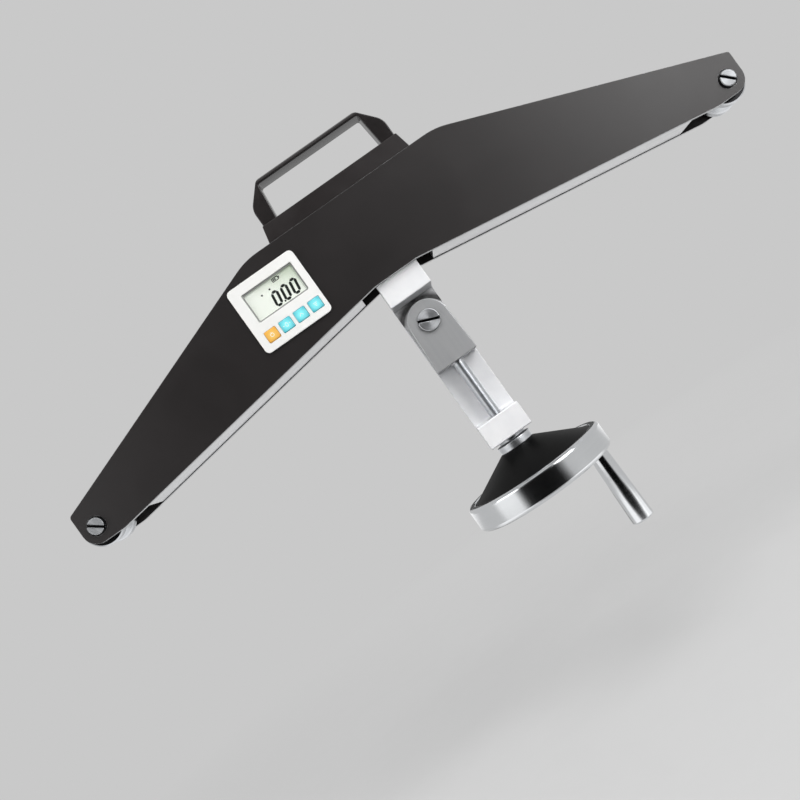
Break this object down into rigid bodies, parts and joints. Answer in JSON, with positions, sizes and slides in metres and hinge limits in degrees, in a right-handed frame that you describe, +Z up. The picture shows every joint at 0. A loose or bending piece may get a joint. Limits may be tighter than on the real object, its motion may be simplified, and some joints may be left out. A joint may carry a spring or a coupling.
{
  "type": "wire rope tension meter",
  "caption": "Three-roller wire rope tension meter: long plated body with display and carry handle, pull frame with rope clevis, screw and crank handwheel.",
  "frame": {"origin": "midway along the rope line, which touches the groove seats of both end rollers from below, in the middle plane between the plates", "axes": "+X along the body to the end away from the display, +Y from the display side to the rear plate, +Z up to the carry handle"},
  "size_m": [0.635, 0.125, 0.4007],
  "materials": {
    "black_plate": "black anodised, satin",
    "bright_aluminium": "bright milled",
    "zinc_steel": "zinc plated",
    "handle_black": "moulded, semi-gloss",
    "cell_steel": "nickel plated",
    "frame_steel": "bright ground",
    "bronze": "turned bronze",
    "turned_steel": "turned and polished",
    "clevis_steel": "satin, bead blasted",
    "wheel_black": "black lacquer, gloss",
    "rim_chrome": "polished chrome",
    "bezel_white": "moulded, fine matt",
    "window_glass": "clear",
    "lcd_green": "reflective display",
    "board_green": "lacquered board",
    "pad_rubber": "silicone",
    "button_orange": "moulded, fine matt",
    "button_blue": "moulded, fine matt",
    "battery_wrap": "shrink wrap",
    "lead_rubber": "cable sheath",
    "socket_black": "moulded"
  },
  "bodies": {
    "root": {"front_plate": "black_plate", "rear_plate": "black_plate", "lower_wall_left": "bright_aluminium", "lower_wall_right": "bright_aluminium", "upper_wall_left": "black_plate", "upper_wall_right": "black_plate", "top_beam": "bright_aluminium", "plate_screws": "zinc_steel", "handle_base": "handle_black", "carry_handle": "handle_black", "handle_screws": "zinc_steel", "load_cell": "cell_steel", "cell_bolt": "zinc_steel", "cell_stud": "zinc_steel", "pull_frame": "frame_steel", "thread_bush": "turned_steel", "end_axle_left": "turned_steel", "end_axle_right": "turned_steel", "axle_spacers_left": "zinc_steel", "axle_spacers_right": "zinc_steel", "display_bezel": "bezel_white", "window_pane": "window_glass", "lcd_module": "lcd_green", "circuit_board": "board_green", "board_screws": "zinc_steel", "dome_pads": "pad_rubber", "battery": "battery_wrap", "sensor_lead": "lead_rubber", "charge_socket": "socket_black"},
    "clevis": {"clevis": "clevis_steel", "clevis_pin": "turned_steel", "thrust_washer": "turned_steel"},
    "screw": {"lead_screw": "turned_steel", "swivel_nut": "zinc_steel", "hub_collar": "turned_steel", "handwheel": "wheel_black", "handwheel_rim": "rim_chrome", "wheel_key": "zinc_steel", "wheel_washer": "zinc_steel", "wheel_nut": "zinc_steel", "crank_spindle": "turned_steel"},
    "crank_grip": {"crank_grip": "rim_chrome"},
    "left_roller": {"end_roller_left": "turned_steel", "roller_bush_left": "bronze"},
    "right_roller": {"end_roller_right": "turned_steel", "roller_bush_right": "bronze"},
    "middle_roller": {"middle_roller": "turned_steel", "middle_bush": "bronze"},
    "power_button": {"power_button": "button_orange"},
    "zero_button": {"zero_button": "button_blue"},
    "peak_button": {"peak_button": "button_blue"},
    "unit_button": {"unit_button": "button_blue"}
  },
  "joints": [
    {"name": "clevis_slide", "type": "slide", "parent": "root", "child": "clevis", "axis": [0, 0, 1], "range_m": [-0.05, 0]},
    {"name": "handwheel_turn", "type": "hinge", "parent": "clevis", "child": "screw", "pos_m": [0, 0, -0.126], "axis": [0, 0, 1], "range_deg": [-9000, 0]},
    {"name": "crank_spin", "type": "hinge", "parent": "screw", "child": "crank_grip", "pos_m": [0.0485, 0, -0.2], "axis": [0, 0, 1], "continuous": true},
    {"name": "left_roller_spin", "type": "hinge", "parent": "root", "child": "left_roller", "pos_m": [-0.3, 0, 0.013], "axis": [0, 1, 0], "continuous": true},
    {"name": "right_roller_spin", "type": "hinge", "parent": "root", "child": "right_roller", "pos_m": [0.3, 0, 0.013], "axis": [0, 1, 0], "continuous": true},
    {"name": "middle_roller_spin", "type": "hinge", "parent": "clevis", "child": "middle_roller", "pos_m": [0, 0, -0.0046], "axis": [0, 1, 0], "continuous": true},
    {"name": "power_press", "type": "slide", "parent": "root", "child": "power_button", "axis": [0, 1, 0], "range_m": [0, 0.0006], "stiffness_N_per_m": 2500},
    {"name": "zero_press", "type": "slide", "parent": "root", "child": "zero_button", "axis": [0, 1, 0], "range_m": [0, 0.0006], "stiffness_N_per_m": 2500},
    {"name": "peak_press", "type": "slide", "parent": "root", "child": "peak_button", "axis": [0, 1, 0], "range_m": [0, 0.0006], "stiffness_N_per_m": 2500},
    {"name": "unit_press", "type": "slide", "parent": "root", "child": "unit_button", "axis": [0, 1, 0], "range_m": [0, 0.0006], "stiffness_N_per_m": 2500}
  ],
  "couplings": [
    {"joint": "clevis_slide", "follows": "handwheel_turn", "m_per_rad": 0.0003183}
  ]
}
